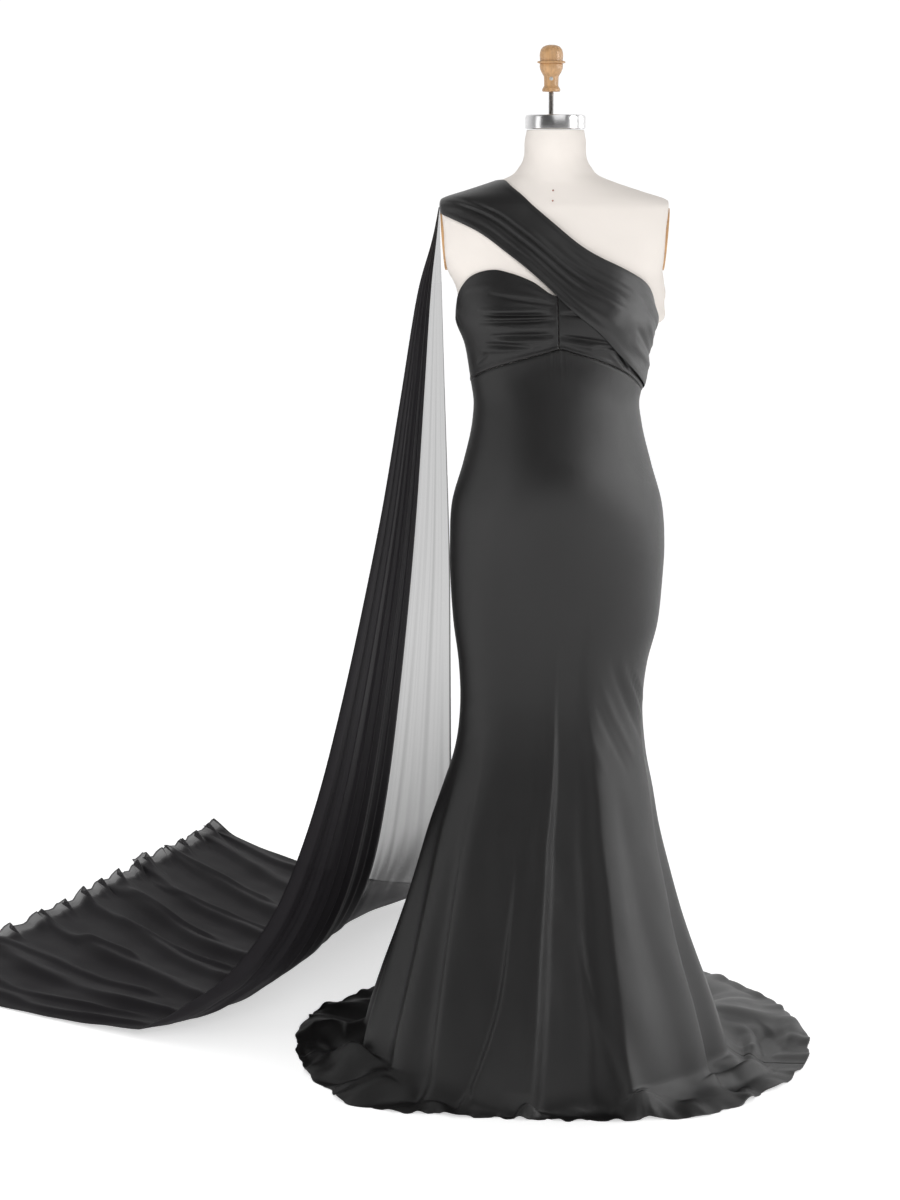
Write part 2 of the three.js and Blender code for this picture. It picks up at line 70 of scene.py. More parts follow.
class Table:
    """Rows with named columns; each column after the first is a curve over the first."""

    def __init__(self, columns, rows, period=0):
        along = [row[0] for row in rows]
        for k, name in enumerate(columns[1:], start=1):
            setattr(self, name, curve(along, [row[k] for row in rows], period))


def bump(x, width):
    return np.exp(-(x * x) / (2 * width * width))


def ease(x):
    t = np.clip(x, 0, 1)
    return t * t * (3 - 2 * t)


def mix(a, b, t):
    return a + (b - a) * t


def turned(degrees):
    return (degrees + 180) % 360 - 180


def wander(x, y, seed):
    """A slow uneven value from about -1 to 1, the same each time."""
    phases = np.random.default_rng(seed).uniform(0, 2 * math.pi, 8)
    total = 0
    for k in range(4):
        tilt = phases[k]
        along = x * math.cos(tilt) + y * math.sin(tilt)
        total = total + np.sin(along * (1 + 0.6 * k) + phases[k + 4])
    return total / 4


# The gown's outer shape


SECTION = Table(["z", "shift", "half", "front", "back", "square"], [
    [0, -5, 330, 268, 330, 2],
    [60, -5, 318, 260, 306, 2],
    [149, -7, 292, 241, 266, 2],
    [224, -10, 266, 220, 234, 2],
    [292, -12, 244, 201, 206, 2],
    [371, -12, 221, 178, 173, 2.05],
    [446, -11, 201, 157, 145, 2.1],
    [519, -5, 184, 138, 121, 2.15],
    [595, -1, 167, 121, 106, 2.2],
    [668, 0, 161, 113, 100, 2.2],
    [740, 2, 166, 115, 104, 2.2],
    [810, 6, 179, 123, 117, 2.2],
    [882, 7, 185, 133, 128, 2.2],
    [953, 8, 187, 139, 130, 2.2],
    [1024, 7, 182, 141, 120, 2.2],
    [1095, 7, 162, 137, 104, 2.2],
    [1165, 6, 146, 131, 92, 2.2],
    [1200, 5, 143, 128, 87, 2.2],
    [1234, 6, 149, 124, 86, 2.3],
    [1303, 4, 159, 122, 91, 2.3],
    [1338, 3, 171, 124, 96, 2.35],
    [1372, 2, 171, 124, 98, 2.35],
    [1400, 2, 178, 119, 99, 2.3],
    [1430, 1, 193, 112, 97, 2.3],
    [1460, 0, 204, 105, 95, 2.3],
    [1490, 0, 207, 97, 92, 2.3],
    [1520, 0, 206, 88, 85, 2.25],
    [1537, 0, 203, 82, 80, 2.2],
    [1546, 0, 190, 77, 76, 2.2],
    [1559, 0, 150, 70, 71, 2.15],
    [1576, 0, 99, 62, 66, 2.1],
    [1584, 0, 79, 60, 64, 2.05],
    [1600, 0, 63, 57, 60, 2],
    [1646, 0, 54, 54, 54, 2],
    [1661, 0, 51, 51, 51, 2],
])
BUST = {"out": 30, "at": 82, "z": 1352, "wide": 40, "tall": 44}
BELLY = {"out": 60, "z": 1082, "wide": 35, "above": 95, "below": 105}
ARMHOLE = {"x": 197, "top": 1535, "lean": 0.08, "bottom": 1385, "round": 6}
SIDE = 90
CENTRE_SEAM = 2


def figure(degrees, z):
    """Points of the gown's outer face, by degrees from straight ahead and height."""
    angle = np.radians(degrees)
    across, ahead = np.sin(angle), np.cos(angle)
    n = SECTION.square(z)
    deep = np.where(ahead > 0, SECTION.front(z), SECTION.back(z))
    r = ((np.abs(across) / SECTION.half(z)) ** n + (np.abs(ahead) / deep) ** n) ** (-1 / n)
    x = r * across
    front = np.sqrt(np.clip(ahead, 0, 1))
    sides = bump(x - BUST["at"], BUST["wide"]) + bump(x + BUST["at"], BUST["wide"])
    tall = np.where(z > BELLY["z"], BELLY["above"], BELLY["below"])
    r = r + BUST["out"] * bump(z - BUST["z"], BUST["tall"]) * sides * front
    r = r + BELLY["out"] * bump(turned(degrees), BELLY["wide"]) * bump(z - BELLY["z"], tall) * front
    wide = SECTION.shift(z) + r * across
    # The sides are flat where the arm plates sit.
    flat = ARMHOLE["x"] - ARMHOLE["lean"] * (ARMHOLE["top"] - z)
    over = np.abs(wide) - (flat - ARMHOLE["round"])
    cut = np.sign(wide) * (flat - ARMHOLE["round"] * np.exp(-np.clip(over, 0, None) / ARMHOLE["round"]))
    x = np.where((over > 0) & (z > ARMHOLE["bottom"]), cut, wide)
    return np.stack([x, -r * ahead, z + 0 * x], axis=-1)


def normals(surface, u, v):
    """Outward normals of a surface of u and v, which run to the viewer's right and down."""
    step = 1e-3
    along = surface(np.clip(u + step, 0, 1), v) - surface(np.clip(u - step, 0, 1), v)
    down = surface(u, np.clip(v + step, 0, 1)) - surface(u, np.clip(v - step, 0, 1))
    out = np.cross(down, along)
    return out / np.maximum(np.linalg.norm(out, axis=-1, keepdims=True), 1e-9)


# Making pieces


WALL = 1.2
LEAST_HEIGHT = 0.2  # the lowest that cloth lies over the floor
LEAST_RADIUS = 0.05  # what a lathe profile's middle is drawn in to


def alone(piece):
    bpy.ops.object.select_all(action="DESELECT")
    piece.select_set(True)
    bpy.context.view_layer.objects.active = piece


def read_points(piece):
    points = np.empty(len(piece.data.vertices) * 3)
    piece.data.vertices.foreach_get("co", points)
    return points.reshape(-1, 3)


def write_points(piece, points):
    piece.data.vertices.foreach_set("co", points.ravel())
    piece.data.update()


def cloth(name, surface, columns, rows, lift=None, flat=(1, 1)):
    """A grid primitive laid on a surface, with its UV map in metres of flat cloth."""
    bpy.ops.object.select_all(action="DESELECT")
    bpy.ops.mesh.primitive_grid_add(x_subdivisions=columns, y_subdivisions=rows, size=1, calc_uvs=True)
    piece = bpy.context.object
    piece.name = piece.data.name = name
    grid = read_points(piece)
    u, v = grid[:, 0] + 0.5, 0.5 - grid[:, 1]
    points = surface(u, v)
    if lift is not None:
        points = points + normals(surface, u, v) * lift(u, v)[:, None]
    uv = np.empty(len(piece.data.loops) * 2)
    piece.data.uv_layers[0].data.foreach_get("uv", uv)
    uv = uv.reshape(-1, 2) * np.array(flat)
    piece.data.uv_layers[0].data.foreach_set("uv", uv.ravel())
    write_points(piece, points * MM)
    bpy.ops.object.shade_smooth()
    return piece


def thicken(piece):
    """Gives a sheet its wall, inward from the face that shows."""
    alone(piece)
    wall = piece.modifiers.new("wall", "SOLIDIFY")
    wall.thickness = WALL * MM
    wall.offset = -1
    bpy.ops.object.modifier_apply(modifier=wall.name)
    return piece


def keep_above_floor(piece):
    points = read_points(piece)
    points[:, 2] = np.maximum(points[:, 2], LEAST_HEIGHT * MM)
    write_points(piece, points)


def lathe(name, profile, segments=64, shift=0):
    """Turns a profile of radius and height by extruding and scaling a circle, ring by ring."""
    bpy.ops.object.select_all(action="DESELECT")
    radius, height = profile[0]
    start = max(radius, LEAST_RADIUS)
    bpy.ops.mesh.primitive_circle_add(
        vertices=segments, radius=start * MM, fill_type="NGON", location=(shift * MM, 0, height * MM)
    )
    piece = bpy.context.object
    piece.name = piece.data.name = name
    bpy.ops.object.mode_set(mode="EDIT")
    for radius, z in profile[1:]:
        bpy.ops.mesh.extrude_region_move(TRANSFORM_OT_translate={"value": (0, 0, (z - height) * MM)})
        scale = max(radius, LEAST_RADIUS) / start
        bpy.ops.transform.resize(value=(scale, scale, 1), center_override=(shift * MM, 0, z * MM))
        start, height = max(radius, LEAST_RADIUS), z
    bpy.ops.mesh.select_all(action="SELECT")
    bpy.ops.mesh.normals_make_consistent(inside=False)
    bpy.ops.object.mode_set(mode="OBJECT")
    bpy.ops.object.transform_apply(location=True, rotation=True, scale=True)
    bpy.ops.object.shade_smooth_by_angle(angle=math.radians(40))
    return piece


def dress(piece, material, slot, *nodes):
    """Gives a piece its material and hides the solids that it stands for."""
    piece.data.materials.clear()
    piece.data.materials.append(material)
    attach(piece, "root")
    if nodes:
        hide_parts(*nodes)
    return piece


# Seams and edges, by degrees


EMPIRE = Table(["degrees", "z"], [
    [-90, 1230],
    [-40, 1268],
    [-7, 1291],
    [4, 1297],
    [13, 1291],
    [43, 1265],
    [76, 1224],
    [90, 1217],
    [180, 1222],
], 360)
CUP_TOP = Table(["degrees", "z"], [
    [-90, 1346],
    [-80, 1368],
    [-69, 1395],
    [-58, 1418],
    [-45, 1428],
    [-33, 1423],
    [-18, 1410],
    [2, 1385],
    [20, 1398],
    [42, 1408],
    [58, 1398],
    [68, 1378],
    [90, 1318],
    [130, 1336],
    [180, 1350],
    [230, 1350],
], 360)

# Creases of the cups: each runs from one point to another, deep in the middle.
CREASES = [
    # from degrees, z, to degrees, z, height, half width
    [-46, 1354, -2, 1354, -5.0, 2.6],
    [-50, 1361, -4, 1362, 3.4, 3.2],
    [-50, 1340, 0, 1346, -5.0, 2.8],
    [-44, 1348, -4, 1350, 2.6, 2.4],
    [-44, 1388, 1, 1370, -3.2, 2.6],
    [-44, 1394, 1, 1376, 2.6, 3.6],
    [-26, 1406, 1, 1380, 1.8, 4],
    [-44, 1318, -1, 1322, -4.2, 3.2],
    [-40, 1311, -1, 1313, 3.8, 3.2],
    [-50, 1303, -16, 1301, -5.4, 3.0],
    [-58, 1290, -4, 1307, 3.8, 4.5],
    [-30, 1332, 0, 1333, 2.8, 5],
    [-70, 1392, -40, 1404, 1.8, 5],
    [-84, 1374, -66, 1352, 2.0, 4],
    [-86, 1352, -70, 1330, -2.0, 3],
    [-62, 1268, -48, 1290, -2.0, 2.5],
    [3, 1320, 40, 1304, -5.0, 3.0],
    [3, 1311, 42, 1294, 3.4, 3.8],
    [24, 1300, 42, 1298, -4.0, 2.4],
    [3, 1355, 26, 1353, -2.6, 2.2],
    [3, 1362, 24, 1362, 2.0, 3.5],
    [42, 1300, 54, 1262, -3.6, 2.6],
    [47, 1300, 58, 1262, 2.6, 2.6],
    [36, 1292, 48, 1264, 2.4, 2.6],
]
CREASE_RADIUS = 140
BODICE_GAP = 0.08
BODICE_FLAT = (0.24, 0.14)
BODICE_FULL = {"height": 1.4, "degrees": 50, "z": 1350, "tall": 40}
SEAM_GROOVE = {"deep": 1.5, "degrees": 0.45}


def creases(rows, degrees, z, radius=CREASE_RADIUS):
    """Ridges and grooves along straight runs; the radius turns degrees into distance."""
    total = 0 * z
    for from_degrees, from_z, to_degrees, to_z, height, wide in rows:
        run = np.array([math.radians(to_degrees - from_degrees) * radius, to_z - from_z])
        length = float(np.hypot(*run))
        run = run / length
        dx = np.radians(turned(degrees - from_degrees)) * radius
        dz = z - from_z
        along = (dx * run[0] + dz * run[1]) / length
        beside = -dx * run[1] + dz * run[0]
        fade = np.clip(1 - (2 * along - 1) ** 2, 0, 1) ** 0.8
        total = total + height * fade * bump(beside, wide * (0.6 + 0.4 * fade))
    return total


def bodice_piece(name, start, end, columns, rows):
    def place(u, v):
        degrees = mix(start + BODICE_GAP, end - BODICE_GAP, u)
        return degrees, mix(CUP_TOP.z(turned(degrees)), EMPIRE.z(turned(degrees)) + 0.2, v)

    def surface(u, v):
        return figure(*place(u, v))

    def lift(u, v):
        degrees, z = place(u, v)
        edge = np.minimum(1, v * 8)
        full = bump(degrees, BODICE_FULL["degrees"]) * bump(z - BODICE_FULL["z"], BODICE_FULL["tall"])
        gathered = BODICE_FULL["height"] * full
        seam = -SEAM_GROOVE["deep"] * bump(degrees - CENTRE_SEAM, SEAM_GROOVE["degrees"])
        uneven = 0.4 * wander(degrees * 0.12, z * 0.05, 3)
        lip = ease((v - 0.93) / 0.04) - 1.2 * ease((v - 0.985) / 0.015)
        return (gathered + seam + creases(CREASES, degrees, z) + uneven) * edge + lip

    return thicken(cloth(name, surface, columns, rows, lift, BODICE_FLAT))


# Sash


SASH = Table(["along", "low_degrees", "low_z", "high_degrees", "high_z"], [
    [0, -89.8, 1522, -89.8, 1575],
    [0.12, -80, 1520, -66, 1575],
    [0.24, -60, 1494, -43, 1557],
    [0.36, -41, 1461, -22, 1532],
    [0.48, -21, 1427, 5, 1496],
    [0.6, 2, 1383, 30, 1457],
    [0.72, 24, 1334, 52, 1424],
    [0.82, 43, 1288, 65, 1400],
    [0.92, 68, 1241, 78, 1356],
    [1, 89, 1219, 89, 1318],
])
SASH_BACK = Table(["along", "low_degrees", "low_z", "high_degrees", "high_z"], [
    [0, 269.8, 1522, 269.8, 1575],
    [0.15, 257, 1512, 240, 1573],
    [0.4, 237, 1462, 212, 1530],
    [0.7, 226, 1400, 197, 1440],
    [1, 222, 1353.5, 190, 1354],
])
# Lengthwise folds: from u, to u, v at the start, v at the end, height, half width in v
SASH_FOLDS = [
    [0.06, 0.80, 0.56, 0.50, -3.4, 0.030],
    [0.04, 0.74, 0.68, 0.66, -3.0, 0.028],
    [0.06, 0.84, 0.62, 0.58, 1.4, 0.035],
    [0.10, 0.90, 0.77, 0.80, 1.2, 0.045],
    [0.16, 0.88, 0.87, 0.88, -1.0, 0.030],
    [0.40, 0.86, 0.38, 0.34, -1.1, 0.045],
    [0.34, 0.80, 0.46, 0.42, 0.9, 0.045],
    [0.50, 0.90, 0.20, 0.24, -0.9, 0.030],
    [0.00, 1.00, 0.94, 0.94, 0.9, 0.030],
    [0.00, 1.00, 0.05, 0.05, 0.7, 0.030],
    [0.80, 1.00, 0.30, 0.12, -2.0, 0.030],
    [0.84, 1.00, 0.40, 0.34, 1.8, 0.035],
    [0.80, 1.00, 0.62, 0.50, -2.2, 0.030],
    [0.82, 1.00, 0.76, 0.66, 1.9, 0.040],
    [0.78, 0.97, 0.16, 0.02, 1.4, 0.030],
]


def strap_surface(table):
    def surface(u, v):
        degrees = mix(table.high_degrees(u), table.low_degrees(u), v)
        return figure(degrees, mix(table.high_z(u), table.low_z(u), v))

    return surface


def sash_folds(u, v):
    total = 0 * u
    for start, end, from_v, to_v, height, wide in SASH_FOLDS:
        along = (u - start) / (end - start)
        fade = np.clip(4 * along, 0, 1) * np.clip(4 * (1 - along), 0, 1)
        total = total + height * ease(fade) * bump(v - mix(from_v, to_v, along), wide)
    return total


SASH_LEAST = -1.2  # the form's cover is just under a fold this deep
SASH_CLEAR = 0.3
SASH_OVER_CUPS = 4
SASH_PUFF = 2.2
SASH_FLAT = (0.56, 0.12)
STRAP_FLAT = (0.26, 0.12)
STRAP_FOLDS = [
    # place across the strap, height, half width
    [0.45, 1.6, 0.06],
    [0.6, -1.2, 0.04],
    [0.75, 1.2, 0.05],
]


def sash():
    def lift(u, v):
        over_cups = ease((u - 0.34) / 0.14)
        shoulder = ease(u * 5)
        puff = SASH_PUFF * np.sin(np.pi * v) ** 0.6
        folded = puff + sash_folds(u, v) + 0.2 * wander(u * 14, v * 5, 5)
        tucked = 1 - 0.95 * ease((u - 0.955) / 0.045)
        raised = (SASH_OVER_CUPS * over_cups + folded * shoulder) * tucked
        return np.maximum(SASH_CLEAR + raised, SASH_LEAST)

    front = thicken(cloth("sash_over_bust", strap_surface(SASH), 240, 70, lift, SASH_FLAT))
    back_surface = strap_surface(SASH_BACK)

    def mirrored(u, v):
        return back_surface(1 - u, v)

    def back_lift(u, v):
        edge = ease((1 - u) * 10)
        fold = sum(height * bump(v - place, wide) for place, height, wide in STRAP_FOLDS)
        return SASH_CLEAR + 2.2 * ease(v * 2 - 0.6) * edge + (0.8 + fold) * edge * ease(u * 6)

    back = thicken(cloth("strap_down_back", mirrored, 90, 50, back_lift, STRAP_FLAT))
    return front, back


# Skirt


# Folds of the flare: degrees where it starts and at heights 400, 200 and 0, the height where it
# starts, how far it stands out, and how wide it is to the left and to the right.
FOLDS = [
    [2.5, 1, -2.5, -6, 810, 18, 6, 2],
    [12, 15, 13, 12, 720, -7, 9, 7],
    [26, 33, 30, 28, 860, 30, 3.2, 13],
    [26, 26, 23, 22, 640, -8, 3.5, 3],
    [19, 19, 21, 30, 300, 13, 1.4, 3.2],
    [44, 49, 50, 51, 600, -8, 5, 4],
    [77, 70, 63, 61, 660, 19, 10, 2],
    [84, 77, 70, 67, 600, -8, 4, 4],
    [94, 84, 78, 76, 560, 17, 4, 6],
    [104, 93, 88, 86, 540, -10, 5, 5],
    [-15, -15, -17, -28, 430, 14, 1.3, 8],
    [-23, -19, -21, -22, 600, -3.5, 3.5, 3],
    [-37, -33, -33, -36, 560, -5, 5, 5],
    [-50, -46, -42, -40, 600, 14, 2.6, 9],
    [-58, -53, -49, -48, 560, -6, 4, 4],
    [-70, -63, -59, -57, 600, 15, 3, 7],
    [-80, -72, -68, -67, 580, -7, 4.5, 4],
    [-94, -82, -78, -76, 560, 19, 6, 6],
    [-106, -95, -91, -90, 540, -12, 5, 5],
    [-116, -108, -106, -104, 520, 24, 6, 7],
    [-132, -130, -128, -126, 560, -16, 6, 5],
    [-150, -148, -147, -146, 560, 26, 7, 7],
    [-160, -160, -160, -160, 520, -12, 5, 5],
    [-172, -171, -170, -170, 600, 24, 7, 6],
    [-183, -182, -182, -182, 540, -12, 5, 5],
    [-194, -193, -193, -193, 600, 26, 6, 8],
    [-204, -204, -204, -204, 520, -13, 5, 5],
    [-214, -215, -216, -216, 560, 24, 7, 6],
    [-226, -227, -227, -227, 520, -14, 5, 6],
    [-238, -239, -240, -240, 540, 24, 7, 7],
]
FOLD_START = 1.2
# Drag lines where the skirt is tight at the knee
KNEE = [
    [44, 760, 78, 600, -2.4, 4],
    [50, 765, 84, 625, 2.6, 5],
    [56, 745, 84, 650, -2.4, 3],
    [62, 740, 88, 668, 2.2, 3.5],
    [38, 720, 66, 575, 2, 5],
    [34, 690, 58, 560, -1.6, 4],
    [-50, 700, -84, 640, 1.2, 6],
    [-40, 660, -70, 600, -1, 5],
    [20, 700, 40, 560, 1.2, 6],
    [125, 700, 95, 630, 1.6, 6],
    [-125, 720, -95, 640, 1.6, 6],
    [160, 760, 120, 690, 1.4, 6],
    [-160, 760, -120, 690, 1.4, 6],
]
HEM = Table(["degrees", "reach"], [
    [-150, 545],
    [-115, 501],
    [-91, 457],
    [-66, 419],
    [-56, 412],
    [-44, 363],
    [-3, 285],
    [29, 319],
    [51, 377],
    [67, 399],
    [86, 452],
    [120, 531],
    [147, 600],
    [180, 712],
], 360)
BELLY_FOOT = 930
FLOOR_BEND = 45
BELLY_PART = 0.3
FLOOR_PART = 0.78
SEAM_GAP = 0.03
SEAM_CLEAR = 7  # degrees beside a side seam where both panels stay smooth
KNEE_RADIUS = 160
FLOOR_RADIUS = 57.3  # a degree counts as one hundredth of the way out to the hem
RIPPLE = 0.9
HEAP = 6
HEM_SWAY = 10
HEM_CURL = 9
SKIRT_GRID = (240, 190)
FRONT_FLAT = (0.95, 1.45)
BACK_FLAT = (1.5, 1.75)
# Folds of the part that lies on the floor: each runs from one point to another, by degrees and
# by hundredths of the way out to the hem.
FLOOR_FOLDS = [
    # from degrees, out, to degrees, out, height, half width
    [-8, 10, -13, 104, -12, 1.6],
    [-4, 30, -9, 104, 9, 2.4],
    [-45, 10, -51, 104, -12, 1.8],
    [-60, 10, -66, 100, 15, 2.6],
    [-64, 30, -73, 104, -9, 2],
    [-54, 20, -60, 104, 11, 2.6],
    [-38, 40, -33, 104, 8, 2.2],
    [-70, -10, -92, 90, 22, 5],
    [-80, 0, -104, 80, -14, 4],
    [-84, 60, -76, 104, 9, 3],
    [-100, 30, -112, 104, 14, 5],
    [30, 20, 33, 104, 8, 2.6],
    [38, 30, 44, 104, -8, 2],
    [48, 40, 46, 104, 8, 2.4],
    [60, 10, 84, 70, 16, 3.4],
    [66, 0, 90, 60, -10, 3],
    [68, 60, 62, 104, 9, 2.6],
    [88, 30, 108, 44, 16, 6],
    [92, 48, 112, 62, -10, 5],
    [100, 70, 118, 104, 12, 4],
    [124, 10, 136, 90, 20, 6],
    [150, 20, 160, 104, 18, 5],
    [172, 10, 190, 96, 20, 6],
    [200, 20, 214, 104, 18, 6],
    [226, 10, 240, 96, 18, 6],
]


def flare(degrees, z):
    """How far the folds of the flare stand out, at a place on the skirt."""
    total = 0 * z
    for start, at_400, at_200, at_floor, top, height, left, right in FOLDS:
        path = curve([0, 200, 400, max(top, 401)], [at_floor, at_200, at_400, start])(z)
        beside = turned(degrees - path)
        grown = np.sin(np.clip((top - z) / top, 0, 1) * np.pi / 2) ** FOLD_START
        total = total + height * grown * np.where(beside < 0, bump(beside, left), bump(beside, right))
    return total


def skirt_surface(degrees_at, seed):
    def surface(u, v):
        degrees = degrees_at(u)
        top = EMPIRE.z(turned(degrees)) - 0.2
        above = mix(top, BELLY_FOOT, np.clip(v / BELLY_PART, 0, 1))
        down = np.clip((v - BELLY_PART) / (FLOOR_PART - BELLY_PART), 0, 1)
        z = np.where(v <= BELLY_PART, above, mix(BELLY_FOOT, FLOOR_BEND, down))
        out = np.clip((v - FLOOR_PART) / (1 - FLOOR_PART), 0, 1)
        point = figure(degrees, z)
        base = np.hypot(point[..., 0], point[..., 1])
        fold = flare(degrees, z)
        clear = ease(np.abs(np.abs(turned(degrees)) - SIDE) / SEAM_CLEAR)
        ripple = RIPPLE * clear * wander(degrees * 0.35, z * 0.012, seed + 1) * ease((700 - z) / 500)
        reach = base + fold * (1 - ease(out)) + ripple + creases(KNEE, degrees, z, KNEE_RADIUS)
        round_at = degrees * 0.19 + 1.3 * wander(degrees * 0.11, 0 * z, seed + 2)
        small_at = degrees * 0.62 + 2 * wander(degrees * 0.16, 0 * z, seed + 5)
        waves = np.abs(np.sin(round_at)) ** 0.6 - 0.7
        small = 0.3 * np.abs(np.sin(small_at)) * (1 + wander(degrees * 0.2, 0 * z, seed + 6))
        uneven = HEM_SWAY * clear * (waves + small)
        spread = mix(reach, HEM.reach(turned(degrees)) + uneven * out ** 2, out)
        lying = np.clip(flare(degrees, 0 * z), 0, None) * np.sin(np.pi * out ** 0.7) * 0.9
        soft = np.clip(wander(degrees * 0.28, out * 3, seed + 3) + 0.15, 0, 1)
        folds = creases(FLOOR_FOLDS, degrees, 100 * out, FLOOR_RADIUS) * ease(out * 8)
        heaps = HEAP * clear * soft * np.sin(np.pi * out) + folds
        rolled = 0.6 * wander(degrees * 0.3, 0 * z, seed + 4) + 0.5 * np.sin(small_at)
        curl = HEM_CURL * clear * np.clip(rolled, 0, 1) * out ** 4
        sweep = bump(turned(degrees) + 70, 13) + 0.7 * bump(turned(degrees) - 76, 10)
        bend = (FLOOR_BEND - WALL) * (1 - out) ** (5 - 3.4 * sweep)
        lies = np.maximum(WALL + bend + lying + heaps + curl, WALL + LEAST_HEIGHT)
        height = np.where(out > 0, lies, z)
        ratio = spread / base
        return np.stack([point[..., 0] * ratio, point[..., 1] * ratio, height], axis=-1)

    return surface


def gathers(u, v, degrees_at):
    """Small gathers under the point of the empire seam."""
    degrees = degrees_at(u)
    near = bump(turned(degrees) - 1, 6) * bump(v, 0.018)
    return 0.7 * near * (np.sin(degrees * 2.3 + 2 * np.sin(degrees * 0.7)) - 0.3)


def skirt_panel(name, from_degrees, to_degrees, seed, flat):
    def degrees_at(u):
        return mix(from_degrees + SEAM_GAP, to_degrees - SEAM_GAP, u)

    surface = skirt_surface(degrees_at, seed)
    piece = cloth(name, surface, *SKIRT_GRID, lambda u, v: gathers(u, v, degrees_at), flat)
    thicken(piece)
    keep_above_floor(piece)
    return piece


def skirt():
    front = skirt_panel("skirt_front_panel", -SIDE, SIDE, 11, FRONT_FLAT)
    back = skirt_panel("skirt_back_panel", SIDE, 360 - SIDE, 21, BACK_FLAT)
    return front, back


# Train


TRAIN_TOP = {"x": -198, "front": -14, "back": 34}
TRAIN_TOUCH = Table(["part", "x", "y"], [
    [0, -760, 88],
    [0.1, -689, 134],
    [0.21, -640, 192],
    [0.33, -599, 291],
    [0.45, -553, 400],
    [0.57, -526, 527],
    [0.7, -477, 674],
    [0.84, -400, 850],
    [1, -225, 1060],
])
TRAIN_HEM = Table(["part", "x", "y"], [
    [0, -1276, 383],
    [0.2, -1165, 690],
    [0.4, -1050, 960],
    [0.6, -975, 1190],
    [0.8, -895, 1400],
    [1, -825, 1603],
])
TRAIN_FALL = Table(["reach", "z"], [
    [0, 1530],
    [0.012, 1495],
    [0.063, 1385],
    [0.118, 1200],
    [0.171, 1022],
    [0.233, 846],
    [0.305, 660],
    [0.384, 483],
    [0.447, 371],
    [0.515, 275],
    [0.587, 203],
    [0.65, 155],
    [0.725, 110],
    [0.81, 76],
    [0.89, 46],
    [1, 16],
])
TRAIN_FLAT = (1.35, 2.5)
TRAIN_GRID = (320, 260)
TRAIN_TOUCH_PART = 0.66
TRAIN_BUNDLE = 0.7
TRAIN_PLEATS = 7
TRAIN_FINE_PLEATS = 17
TRAIN_DEEPEST = 12
TRAIN_BELLY = 15  # how far the back edge swings in behind the gown
TRAIN_BOW = (-14, -109)  # how far the lying edges bow, at the near side and the far side
TRAIN_WAVES = 15
TRAIN_SMALL_WAVES = 47
TRAIN_FRILL = 16
TRAIN_SWING = 15
TRAIN_LIES = 0.6


def train_fall(part, reach):
    """Where the smooth sheet hangs: part goes across it, reach goes down to where it touches."""
    top_y = mix(TRAIN_TOP["front"], TRAIN_TOP["back"], part)
    swing = ease(reach / 0.25) * (1 - ease((reach - 0.45) / 0.45))
    x = mix(TRAIN_TOP["x"], TRAIN_TOUCH.x(part), reach) + TRAIN_BELLY * part ** 2 * swing
    y = mix(top_y, TRAIN_TOUCH.y(part), reach)
    return np.stack([x, y, TRAIN_FALL.z(reach)], axis=-1)


def train_surface(part, v):
    falling = np.clip(v / TRAIN_TOUCH_PART, 0, 1)
    reach = falling ** 1.6
    base = train_fall(part, reach)
    normal = -normals(train_fall, part, reach)
    across = train_fall(0 * part, reach) - train_fall(0 * part + TRAIN_BUNDLE, reach)
    width = np.linalg.norm(across, axis=-1)
    bundle = 1 - ease((part - TRAIN_BUNDLE + 0.08) / 0.16)
    slow = part + 0.012 * wander(falling * 3, part * 6, 31)
    pleat = np.cos(2 * np.pi * TRAIN_PLEATS * slow / TRAIN_BUNDLE)
    fine_at = TRAIN_FINE_PLEATS * slow / TRAIN_BUNDLE
    fine = np.cos(2 * np.pi * fine_at + 2 * wander(falling * 2, part * 9, 32))
    wide = np.cos(2 * np.pi * 3 * part)
    depth = np.minimum(TRAIN_DEEPEST, width / TRAIN_PLEATS * 0.2) * ease(reach * 14) * (1 - reach) ** 0.5
    sheer = 0.4 * wide + 0.2 * wander(part * 45, falling * 4, 33)
    pleats = pleat * (1 + 0.5 * wander(part * 12, falling * 2, 46)) + 0.25 * fine
    moved = depth * (pleats * bundle + sheer * (1 - bundle))
    falls = base + normal * moved[..., None]
    out = np.clip((v - TRAIN_TOUCH_PART) / (1 - TRAIN_TOUCH_PART), 0, 1)
    bow = mix(*TRAIN_BOW, part) * 4 * out * (1 - out)
    wave = np.sin(2 * np.pi * (TRAIN_WAVES * part + 0.5 * wander(part * 25, 0 * part, 34)))
    small_at = 2 * np.pi * TRAIN_SMALL_WAVES * part
    frill = wave + 0.4 * np.sin(small_at + 3 * wander(part * 30, 0 * part, 38))
    height_of_frill = TRAIN_FRILL * np.sqrt(np.clip(frill, 0, 2)) * ease((out - 0.88) / 0.12)
    swing = TRAIN_SWING * wander(part * 24, 0 * part, 39) * out ** 2
    x = mix(base[..., 0], TRAIN_HEM.x(part) + 9 * frill * out ** 8 + swing, out)
    y = mix(base[..., 1], TRAIN_HEM.y(part), out) + bow
    smooth = TRAIN_LIES + (base[..., 2] - TRAIN_LIES) * (1 - out) ** 4
    lies = np.stack([x, y, smooth + train_runs(part, out) + height_of_frill], axis=-1)
    return np.where((v <= TRAIN_TOUCH_PART)[..., None], falls, lies)


